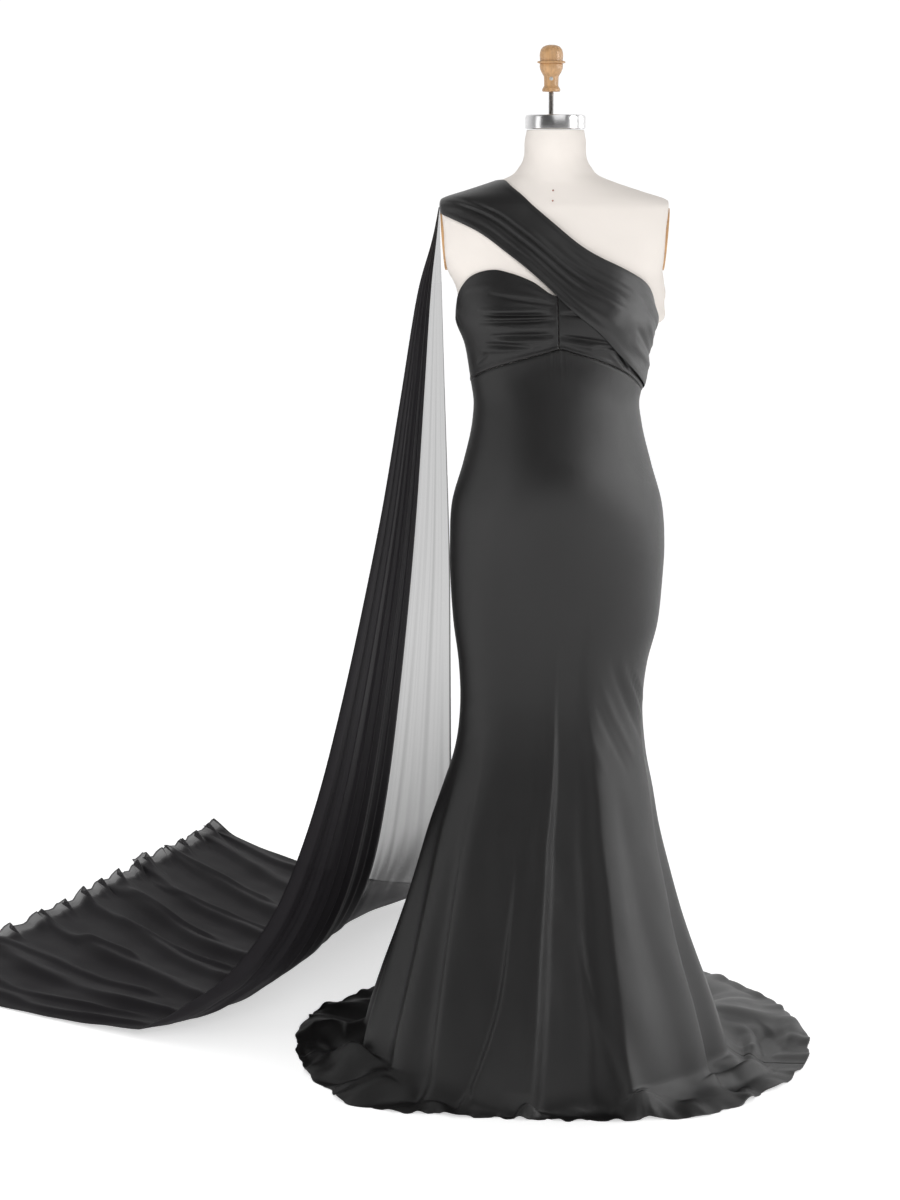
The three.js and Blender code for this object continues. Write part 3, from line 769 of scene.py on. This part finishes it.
# Soft folds over the floor: part at the touching line, part at the hem, where each starts and
# ends on the way out, height, half width
RUNS = [
    [0.04, 0.02, 0.0, 1.0, 10, 0.012],
    [0.10, 0.06, 0.1, 0.9, 9, 0.010],
    [0.14, 0.17, 0.0, 1.0, 20, 0.020],
    [0.22, 0.20, 0.2, 1.0, 12, 0.010],
    [0.26, 0.31, 0.0, 0.8, 24, 0.022],
    [0.33, 0.30, 0.4, 1.0, 16, 0.014],
    [0.38, 0.43, 0.0, 1.0, 22, 0.020],
    [0.45, 0.40, 0.1, 0.8, 12, 0.010],
    [0.49, 0.53, 0.0, 1.0, 26, 0.024],
    [0.56, 0.52, 0.3, 1.0, 14, 0.012],
    [0.61, 0.66, 0.0, 1.0, 22, 0.020],
    [0.68, 0.63, 0.1, 0.9, 12, 0.010],
    [0.74, 0.78, 0.0, 1.0, 24, 0.022],
    [0.80, 0.76, 0.3, 1.0, 14, 0.012],
    [0.87, 0.91, 0.0, 1.0, 18, 0.020],
    [0.95, 0.97, 0.0, 1.0, 12, 0.014],
]


def train_runs(part, out):
    """Height of the soft folds and small wrinkles over the smooth lying sheet."""
    total = 0 * part
    for start, end, first, last, height, wide in RUNS:
        path = mix(start, end, out) + 0.024 * wander(out * 5, start * 40 + 0 * out, 35)
        beside = part - path
        length = ease((out - first) / 0.12) * ease((last - out) / 0.12 + (last == 1))
        swell = 0.7 + 0.3 * wander(out * 7, start * 90 + 0 * out, 36)
        ridge = np.where(beside < 0, bump(beside, 0.45 * wide), bump(beside, wide))
        total = total + height * swell * length * ridge
    return total * (1 - 0.5 * out ** 8) + 1.5 * (1 + wander(part * 60, out * 14, 37)) * ease(out * 6)


LAYERS = {
    "bundle": 6.6,
    "bundle varies": 2.6,
    "bundle low down": 5,
    "lying": 7,
    "frill": 0.85,
    "wisps": 0.45,
    "low": 1.2,
    "lowest": 3.5,
    "wrinkles": 1.6,
    "foot": 1.5,
    "edges": 3,
}


def train_layers(part, fall):
    """How many layers of chiffon lie over each other, which sets how dark the sheet is."""
    out = np.clip((fall - TRAIN_TOUCH_PART) / (1 - TRAIN_TOUCH_PART), 0, 1)
    slow = part + 0.004 * wander(part * 9, fall * 7, 41)
    bundled = 1 - ease((part - TRAIN_BUNDLE + 0.03) / 0.03)
    pleated = LAYERS["bundle"] + LAYERS["bundle varies"] * wander(slow * 26, fall * 1.5, 44)
    pleated = pleated + LAYERS["bundle low down"] * ease((fall - 0.3) / 0.2)
    thin_end = ease((part - 0.72) / 0.26) * (1 - ease((out - 0.25) / 0.35))
    frill = LAYERS["frill"] * ease((out - 0.91) / 0.05)
    touching = ease((fall - TRAIN_TOUCH_PART + 0.07) / 0.08)
    lying = LAYERS["lying"] * touching * (1 - thin_end) * (1 - frill)
    broad_wisps = np.clip(wander(slow * 70, fall * 4, 42) * 1.6 - 0.5, 0, 1)
    fine_wisps = 0.5 * np.clip(wander(slow * 150, fall * 9, 43), 0, 1)
    wisps = LAYERS["wisps"] * (broad_wisps + fine_wisps) * (0.5 + fall)
    wrinkled = np.clip(wander(part * 34 + fall * 26, fall * 30, 45), 0, 1) * ease((fall - 0.44) / 0.1)
    low = LAYERS["low"] * ease((fall - 0.28) / 0.2) * (1 - thin_end * ease(out / 0.05))
    lowest = LAYERS["lowest"] * ease((fall - 0.42) / 0.22) * (1 - thin_end)
    gathering = 1 + 0.7 * wander(part * 50 + fall * 20, fall * 6, 47)
    sheer = ease((part - TRAIN_BUNDLE) / 0.02) * (1 - ease(out / 0.05))
    foot = LAYERS["foot"] * sheer * ease((fall - 0.41) / 0.07) * gathering
    edges = ease((part - 0.992) / 0.004) + ease((0.008 - part) / 0.004) + ease((out - 0.99) / 0.006)
    heaped = np.maximum(pleated * bundled * (1 - out), lying)
    marks = LAYERS["wrinkles"] * wrinkled + foot + LAYERS["edges"] * edges
    return 1 + heaped + wisps + (low + lowest) * (1 - frill) + marks


def train():
    piece = cloth("train_sheet", lambda u, v: train_surface(1 - u, v), *TRAIN_GRID, None, TRAIN_FLAT)
    keep_above_floor(piece)
    # The UV map tells each point's place on the flat sheet.
    uv = np.empty(len(piece.data.loops) * 2)
    piece.data.uv_layers[0].data.foreach_get("uv", uv)
    uv = uv.reshape(-1, 2) / np.array(TRAIN_FLAT)
    index = np.empty(len(piece.data.loops), dtype=np.int32)
    piece.data.loops.foreach_get("vertex_index", index)
    part = np.empty(len(piece.data.vertices))
    fall = np.empty(len(piece.data.vertices))
    part[index] = 1 - uv[:, 0]
    fall[index] = 1 - uv[:, 1]
    layers = piece.data.attributes.new("layers", "FLOAT", "POINT")
    layers.data.foreach_set("value", train_layers(part, fall))
    return piece


# Dress form


# Where the cover swells over the tight edge of the gown, beside the wearer's left arm
COVER_BULGE = {"degrees": 102, "wide": 14, "from": 1322, "until": 1382, "out": 27}
COVER_UNDER = {"gown": 5.5, "bare": 2.6, "from": 1385, "over": 55}
COVER_LEVELS = curve([0, 0.25, 0.6, 0.75, 0.85, 1], [820, 1100, 1430, 1540, 1592, 1660])
COVER_FLAT = (1, 0.9)


def form_cover():

    def surface(u, v):
        return figure(360 * u - 180, COVER_LEVELS(1 - v))

    def lift(u, v):
        z = COVER_LEVELS(1 - v)
        side = bump(360 * u - 180 - COVER_BULGE["degrees"], COVER_BULGE["wide"])
        above = ease((z - COVER_BULGE["from"]) / 22) * (1 - ease((z - COVER_BULGE["until"]) / 50))
        bare = ease((z - COVER_UNDER["from"]) / COVER_UNDER["over"])
        return COVER_BULGE["out"] * side * above - mix(COVER_UNDER["gown"], COVER_UNDER["bare"], bare)

    piece = cloth("form_cover", surface, 160, 200, lift, COVER_FLAT)
    alone(piece)
    bpy.ops.object.mode_set(mode="EDIT")
    bpy.ops.mesh.select_all(action="SELECT")
    bpy.ops.mesh.remove_doubles(threshold=0.0002)
    bpy.ops.mesh.fill_holes(sides=0)
    bpy.ops.mesh.select_all(action="SELECT")
    bpy.ops.mesh.normals_make_consistent(inside=False)
    bpy.ops.object.mode_set(mode="OBJECT")
    return piece


# Materials


def new_material(name):
    material = bpy.data.materials.new(name)
    material.use_nodes = True
    return material, material.node_tree, material.node_tree.nodes["Principled BSDF"]


def weave_group():
    """Fine threads of cloth from a UV map in metres, as a height and a slow unevenness."""
    group = bpy.data.node_groups.new("cloth threads", "ShaderNodeTree")
    face = group.interface
    face.new_socket("Threads", in_out="INPUT", socket_type="NodeSocketFloat")
    face.new_socket("Cloud", in_out="INPUT", socket_type="NodeSocketFloat")
    face.new_socket("Height", in_out="OUTPUT", socket_type="NodeSocketFloat")
    face.new_socket("Uneven", in_out="OUTPUT", socket_type="NodeSocketFloat")
    nodes, links = group.nodes, group.links
    entry, leave = nodes.new("NodeGroupInput"), nodes.new("NodeGroupOutput")
    where = nodes.new("ShaderNodeTexCoord")
    waves = []
    for direction in ("X", "Y"):
        wave = nodes.new("ShaderNodeTexWave")
        wave.bands_direction = direction
        wave.inputs["Distortion"].default_value = 0.4
        wave.inputs["Detail"].default_value = 1
        links.new(where.outputs["UV"], wave.inputs["Vector"])
        links.new(entry.outputs["Threads"], wave.inputs["Scale"])
        waves.append(wave)
    both = nodes.new("ShaderNodeMath")
    both.operation = "MAXIMUM"
    links.new(waves[0].outputs["Fac"], both.inputs[0])
    links.new(waves[1].outputs["Fac"], both.inputs[1])
    links.new(both.outputs["Value"], leave.inputs["Height"])
    cloud = nodes.new("ShaderNodeTexNoise")
    cloud.inputs["Detail"].default_value = 4
    links.new(where.outputs["UV"], cloud.inputs["Vector"])
    links.new(entry.outputs["Cloud"], cloud.inputs["Scale"])
    links.new(cloud.outputs["Fac"], leave.inputs["Uneven"])
    return group


THREADS = weave_group()
CLOUD = 14


CLOTHS = {
    # colour, roughness, threads in a metre, depth of the weave in metres, specular, unevenness
    "jersey": ((0.0072, 0.0068, 0.0069), 0.44, 900, 0.0001, 0.42, 0.15),
    "satin": ((0.0078, 0.0074, 0.0075), 0.4, 1100, 0.00008, 0.5, 0.15),
    "chiffon": ((0.018, 0.0165, 0.0185), 0.6, 1300, 0.00006, 0.06, 0.15),
    "linen": ((0.86, 0.805, 0.755), 0.9, 700, 0.0001, 0.04, 0.025),
}


def cloth_material(name):
    colour, rough, threads, weave_depth, specular, uneven = CLOTHS[name]
    material, tree, shader = new_material(name)
    nodes, links = tree.nodes, tree.links
    group = nodes.new("ShaderNodeGroup")
    group.node_tree = THREADS
    group.inputs["Threads"].default_value = threads
    group.inputs["Cloud"].default_value = CLOUD
    ramp = nodes.new("ShaderNodeValToRGB")
    ramp.color_ramp.elements[0].color = (*[c * (1 - uneven) for c in colour], 1)
    ramp.color_ramp.elements[1].color = (*[c * (1 + uneven) for c in colour], 1)
    links.new(group.outputs["Uneven"], ramp.inputs["Fac"])
    links.new(ramp.outputs["Color"], shader.inputs["Base Color"])
    roughness = nodes.new("ShaderNodeMapRange")
    roughness.inputs["To Min"].default_value = rough - 0.05
    roughness.inputs["To Max"].default_value = rough + 0.06
    links.new(group.outputs["Uneven"], roughness.inputs["Value"])
    links.new(roughness.outputs["Result"], shader.inputs["Roughness"])
    raised = nodes.new("ShaderNodeBump")
    raised.inputs["Distance"].default_value = weave_depth
    raised.inputs["Strength"].default_value = 0.5
    links.new(group.outputs["Height"], raised.inputs["Height"])
    links.new(raised.outputs["Normal"], shader.inputs["Normal"])
    shader.inputs["Specular IOR Level"].default_value = specular
    return material


LAYER_PASS = 0.55  # light that gets through one layer of chiffon


def chiffon_material():
    """Sheer cloth that hides more of what is behind it where more layers lie over each other."""
    material = cloth_material("chiffon")
    nodes, links = material.node_tree.nodes, material.node_tree.links
    layers = nodes.new("ShaderNodeAttribute")
    layers.attribute_name = "layers"
    passed = nodes.new("ShaderNodeMath")
    passed.operation = "POWER"
    passed.inputs[0].default_value = LAYER_PASS
    links.new(layers.outputs["Fac"], passed.inputs[1])
    cover = nodes.new("ShaderNodeMath")
    cover.operation = "SUBTRACT"
    cover.inputs[0].default_value = 1
    links.new(passed.outputs["Value"], cover.inputs[1])
    links.new(cover.outputs["Value"], nodes["Principled BSDF"].inputs["Alpha"])
    return material


def spots_group():
    """Soft spots in an object's own space, drawn out along its height."""
    group = bpy.data.node_groups.new("soft spots", "ShaderNodeTree")
    face = group.interface
    face.new_socket("Scale", in_out="INPUT", socket_type="NodeSocketFloat")
    face.new_socket("Stretch", in_out="INPUT", socket_type="NodeSocketVector")
    face.new_socket("Spots", in_out="OUTPUT", socket_type="NodeSocketFloat")
    nodes, links = group.nodes, group.links
    entry, leave = nodes.new("NodeGroupInput"), nodes.new("NodeGroupOutput")
    where = nodes.new("ShaderNodeTexCoord")
    stretch = nodes.new("ShaderNodeMapping")
    spots = nodes.new("ShaderNodeTexNoise")
    spots.inputs["Detail"].default_value = 6
    links.new(where.outputs["Object"], stretch.inputs["Vector"])
    links.new(entry.outputs["Stretch"], stretch.inputs["Scale"])
    links.new(stretch.outputs["Vector"], spots.inputs["Vector"])
    links.new(entry.outputs["Scale"], spots.inputs["Scale"])
    links.new(spots.outputs["Fac"], leave.inputs["Spots"])
    return group


SPOTS = spots_group()


FINISHES = {
    # colour, roughness, metallic, scale of the spots, how much they vary the colour, and how far
    # they are drawn out along the height, which is more the lower the number
    "beech": ((0.5, 0.29, 0.135), 0.38, 0, 240, 0.22, 0.07),
    "chrome": ((0.68, 0.675, 0.68), 0.24, 1, 40, 0.06, 1),
    "steel": ((0.36, 0.35, 0.34), 0.32, 1, 200, 0.3, 1),
    "iron": ((0.02, 0.02, 0.022), 0.5, 0, 90, 0.3, 1),
    "screw": ((0.42, 0.43, 0.42), 0.45, 0, 300, 0.15, 1),
    "pin": ((0.3, 0.09, 0.05), 0.4, 0, 90, 0.3, 1),
}


def spotted_material(name):
    """A material whose colour and roughness vary by soft spots."""
    colour, rough, metallic, scale, depth, grain = FINISHES[name]
    material, tree, shader = new_material(name)
    nodes, links = tree.nodes, tree.links
    spots = nodes.new("ShaderNodeGroup")
    spots.node_tree = SPOTS
    spots.inputs["Scale"].default_value = scale
    spots.inputs["Stretch"].default_value = (1, 1, grain)
    ramp = nodes.new("ShaderNodeValToRGB")
    ramp.color_ramp.elements[0].position = 0.3
    ramp.color_ramp.elements[0].color = (*[c * (1 - depth) for c in colour], 1)
    ramp.color_ramp.elements[1].position = 0.7
    ramp.color_ramp.elements[1].color = (*[min(1, c * (1 + depth)) for c in colour], 1)
    links.new(spots.outputs["Spots"], ramp.inputs["Fac"])
    links.new(ramp.outputs["Color"], shader.inputs["Base Color"])
    roughness = nodes.new("ShaderNodeMapRange")
    roughness.inputs["To Min"].default_value = rough * 0.8
    roughness.inputs["To Max"].default_value = min(1, rough * 1.25)
    links.new(spots.outputs["Spots"], roughness.inputs["Value"])
    links.new(roughness.outputs["Result"], shader.inputs["Roughness"])
    shader.inputs["Metallic"].default_value = metallic
    return material


# The gown and the form


def make_gown():
    jersey, satin, chiffon = cloth_material("jersey"), cloth_material("satin"), chiffon_material()
    right = bodice_piece("cup_right", -SIDE, CENTRE_SEAM, 150, 110)
    left = bodice_piece("cup_left", CENTRE_SEAM, SIDE, 120, 90)
    back = bodice_piece("bodice_back_panel", SIDE, 360 - SIDE, 120, 40)
    dress(right, jersey, "jersey", "bodice_front_right")
    dress(left, jersey, "jersey", "bodice_front_left")
    dress(back, jersey, "jersey", "bodice_back")
    front, strap = sash()
    dress(front, satin, "satin", "sash_front")
    dress(strap, satin, "satin", "sash_back")
    front, back = skirt()
    dress(front, jersey, "jersey", "skirt_front")
    dress(back, jersey, "jersey", "skirt_back")
    dress(train(), chiffon, "chiffon", "train")


NECK_TOP = 1661.3
CAP = {"r": 51.5, "top": 1685}
ROD = {"r": 4.5, "bottom": 1685.3, "top": 1723, "pitch": 2}
KNOB_BOTTOM = 1723.3
KNOB_SHIFT = -7.5
KNOB = [
    # radius and height over the knob's bottom
    [0, 0],
    [14, 0],
    [15.2, 1],
    [15.6, 3.5],
    [13.6, 7.5],
    [12.2, 9.3],
    [12.1, 12],
    [12.4, 22],
    [12.7, 25.6],
    [14.2, 28],
    [16.8, 32.4],
    [18.9, 37],
    [19.8, 42],
    [19.6, 45.6],
    [18.9, 46.6],
    [23.4, 47.6],
    [24, 49],
    [23.4, 50.4],
    [19.2, 51.4],
    [19.4, 54],
    [19.9, 60],
    [19.5, 65],
    [17.9, 70.4],
    [14.4, 74.6],
    [9, 77],
    [4, 77.8],
    [0, 77.9],
]
PLATE = {"x": 189.2, "z": 1476, "high": 53, "deep": 44, "thick": 4.5, "lean": 4.57}
PINS = {"heights": [1559, 1542], "degrees": -2.5, "r": 1.5, "in": 2.2}
SCREW = {"z": 21.5, "r": 3.8, "ahead": 10.4}
POLE = [[0, 15.3], [16, 15.3], [16, 819.7], [0, 819.7]]
BASE = [[0, 0], [189, 0], [190, 1], [190, 11], [188.5, 14], [186, 15], [40, 15], [0, 15]]
THREAD_DEEP = 0.9


def arm_plate(name, side, wood):
    bpy.ops.object.select_all(action="DESELECT")
    bpy.ops.mesh.primitive_cylinder_add(
        vertices=96, radius=MM, depth=PLATE["thick"] * MM,
        location=(side * PLATE["x"] * MM, 0, PLATE["z"] * MM),
        rotation=(0, math.radians(90 + side * PLATE["lean"]), 0),
    )
    piece = bpy.context.object
    piece.name = piece.data.name = name
    piece.scale = (PLATE["high"], PLATE["deep"], 1)
    bpy.ops.object.transform_apply(location=True, rotation=True, scale=True)
    soften(piece, 1)
    return dress(piece, wood, "wood", name.replace("_wood", ""))


def soften(piece, width):
    """Rounds a piece's sharp edges a little."""
    alone(piece)
    bevel = piece.modifiers.new("soft edges", "BEVEL")
    bevel.width = width * MM
    bevel.segments = 3
    bevel.limit_method = "ANGLE"
    bpy.ops.object.modifier_apply(modifier=bevel.name)
    bpy.ops.object.shade_smooth_by_angle(angle=math.radians(40))


def bead(name, radius, place, material, slot):
    bpy.ops.object.select_all(action="DESELECT")
    at = [c * MM for c in place]
    bpy.ops.mesh.primitive_uv_sphere_add(segments=24, ring_count=14, radius=radius * MM, location=at)
    piece = bpy.context.object
    piece.name = piece.data.name = name
    bpy.ops.object.transform_apply(location=True, rotation=True, scale=True)
    bpy.ops.object.shade_smooth()
    return dress(piece, material, slot)


def cap_profile():
    r, top = CAP["r"], CAP["top"]
    side = [[0, NECK_TOP], [r - 1, NECK_TOP], [r, NECK_TOP + 1], [r, top - 4]]
    return side + [[r - 1.2, top - 1.2], [r - 4, top], [0, top]]


def rod_profile():
    inner, pitch = ROD["r"] - THREAD_DEEP, ROD["pitch"]
    thread = [[0, ROD["bottom"]]]
    for k in range(int((ROD["top"] - ROD["bottom"]) / pitch)):
        at = ROD["bottom"] + k * pitch
        thread += [[inner, at], [ROD["r"], at + pitch / 2]]
    return thread + [[inner, ROD["top"]], [0, ROD["top"]]]


def make_form():
    wood = spotted_material("beech")
    chrome = spotted_material("chrome")
    steel = spotted_material("steel")
    iron = spotted_material("iron")
    screw = spotted_material("screw")
    pin = spotted_material("pin")
    dress(form_cover(), cloth_material("linen"), "linen", "form_body")
    arm_plate("arm_plate_right_wood", -1, wood)
    arm_plate("arm_plate_left_wood", 1, wood)
    dress(lathe("chrome_cap", cap_profile(), 96), chrome, "chrome", "neck_cap")
    dress(lathe("threaded_rod", rod_profile(), 32, KNOB_SHIFT), steel, "steel", "neck_rod")
    knob = [[radius, KNOB_BOTTOM + z] for radius, z in KNOB]
    dress(lathe("wooden_knob", knob, 64, KNOB_SHIFT), wood, "wood", "neck_knob")
    screw_at = (KNOB_SHIFT, -SCREW["ahead"], KNOB_BOTTOM + SCREW["z"])
    bead("knob_screw", SCREW["r"], screw_at, screw, "steel")
    for k, z in enumerate(PINS["heights"]):
        place = figure(np.array([PINS["degrees"]]), np.array([float(z)]))[0]
        bead(f"pin_{k + 1}", PINS["r"], (place[0], place[1] + PINS["in"], z), pin, "steel")
    dress(lathe("pole", POLE, 64), chrome, "chrome", "stand_pole")
    dress(lathe("round_base", BASE, 128), iron, "iron", "stand_base")


# Camera, light and floor


STUDIO = {"dark until": -0.5, "bright from": 0.8, "dark": 0.1, "bright": 1.06}
LIGHTS = [
    # name, place, aim, width and height, watts, what it lights
    ["key", (3.5, -1.1, 1.9), (0, 0, 0.9), (1.2, 3.0), 96, "sheen"],
    ["rim", (3.2, 1.6, 1.5), (0, 0, 1.0), (1.0, 2.8), 30, "sheen"],
    ["fill", (-3.5, -1.3, 1.9), (0, 0, 0.9), (1.2, 3.0), 20, "all"],
    ["top", (0.9, -3.0, 3.8), (0, 0, 0.9), (3.0, 2.4), 28, "all"],
    ["front", (0.6, -5.0, 2.8), (0, 0, 1.1), (3.0, 3.0), 104, "colour"],
]
CAMERA = {"place": (0, -4.3, 1.6), "lens": 74.526, "down": 9.919, "left": 2.386}


def make_camera():
    data = bpy.data.cameras.new("camera")
    data.sensor_fit = "AUTO"
    data.sensor_width = 36
    data.lens = CAMERA["lens"]
    data.clip_end = 100
    camera = bpy.data.objects.new("camera", data)
    bpy.context.scene.collection.objects.link(camera)
    camera.location = CAMERA["place"]
    camera.rotation_euler = (math.radians(90 - CAMERA["down"]), 0, math.radians(CAMERA["left"]))
    bpy.context.scene.camera = camera


def area_light(name, place, aim, size, power, lights):
    data = bpy.data.lights.new(name, "AREA")
    data.shape = "RECTANGLE"
    data.size, data.size_y = size
    data.energy = power
    light = bpy.data.objects.new(name, data)
    bpy.context.scene.collection.objects.link(light)
    light.location = place
    light.visible_camera = False
    light.visible_diffuse = lights != "sheen"
    light.visible_glossy = lights != "colour"
    light.rotation_euler = (Vector(aim) - Vector(place)).to_track_quat("-Z", "Y").to_euler()


def make_light():
    """A white studio that is bright behind the gown and at its sides, and dark behind the camera."""
    world = bpy.data.worlds.new("studio")
    bpy.context.scene.world = world
    world.use_nodes = True
    nodes, links = world.node_tree.nodes, world.node_tree.links
    shine = nodes["Background"]
    shine.inputs["Color"].default_value = (1, 1, 1, 1)
    where = nodes.new("ShaderNodeTexCoord")
    parts = nodes.new("ShaderNodeSeparateXYZ")
    links.new(where.outputs["Generated"], parts.inputs["Vector"])
    strength = nodes.new("ShaderNodeMapRange")
    strength.interpolation_type = "SMOOTHSTEP"
    strength.inputs["From Min"].default_value = STUDIO["dark until"]
    strength.inputs["From Max"].default_value = STUDIO["bright from"]
    strength.inputs["To Min"].default_value = STUDIO["dark"]
    strength.inputs["To Max"].default_value = STUDIO["bright"]
    links.new(parts.outputs["Y"], strength.inputs["Value"])
    seen = nodes.new("ShaderNodeLightPath")
    white = nodes.new("ShaderNodeMix")
    white.inputs["B"].default_value = STUDIO["bright"]
    links.new(seen.outputs["Is Camera Ray"], white.inputs["Factor"])
    links.new(strength.outputs["Result"], white.inputs["A"])
    links.new(white.outputs["Result"], shine.inputs["Strength"])
    for row in LIGHTS:
        area_light(*row)


FLOOR = {"wide": 60, "grey": 0.93, "rough": 0.7, "glow": 0.54}


def make_floor():
    bpy.ops.object.select_all(action="DESELECT")
    bpy.ops.mesh.primitive_plane_add(size=FLOOR["wide"], location=(0, 0, 0))
    floor = bpy.context.object
    floor.name = "floor"
    material, _, shader = new_material("floor")
    shader.inputs["Base Color"].default_value = (FLOOR["grey"], FLOOR["grey"], FLOOR["grey"], 1)
    shader.inputs["Roughness"].default_value = FLOOR["rough"]
    shader.inputs["Emission Color"].default_value = (1, 1, 1, 1)
    shader.inputs["Emission Strength"].default_value = FLOOR["glow"]
    floor.data.materials.append(material)


make_camera()
make_light()
make_floor()
make_gown()
make_form()

bpy.context.scene.view_settings.view_transform = "Standard"
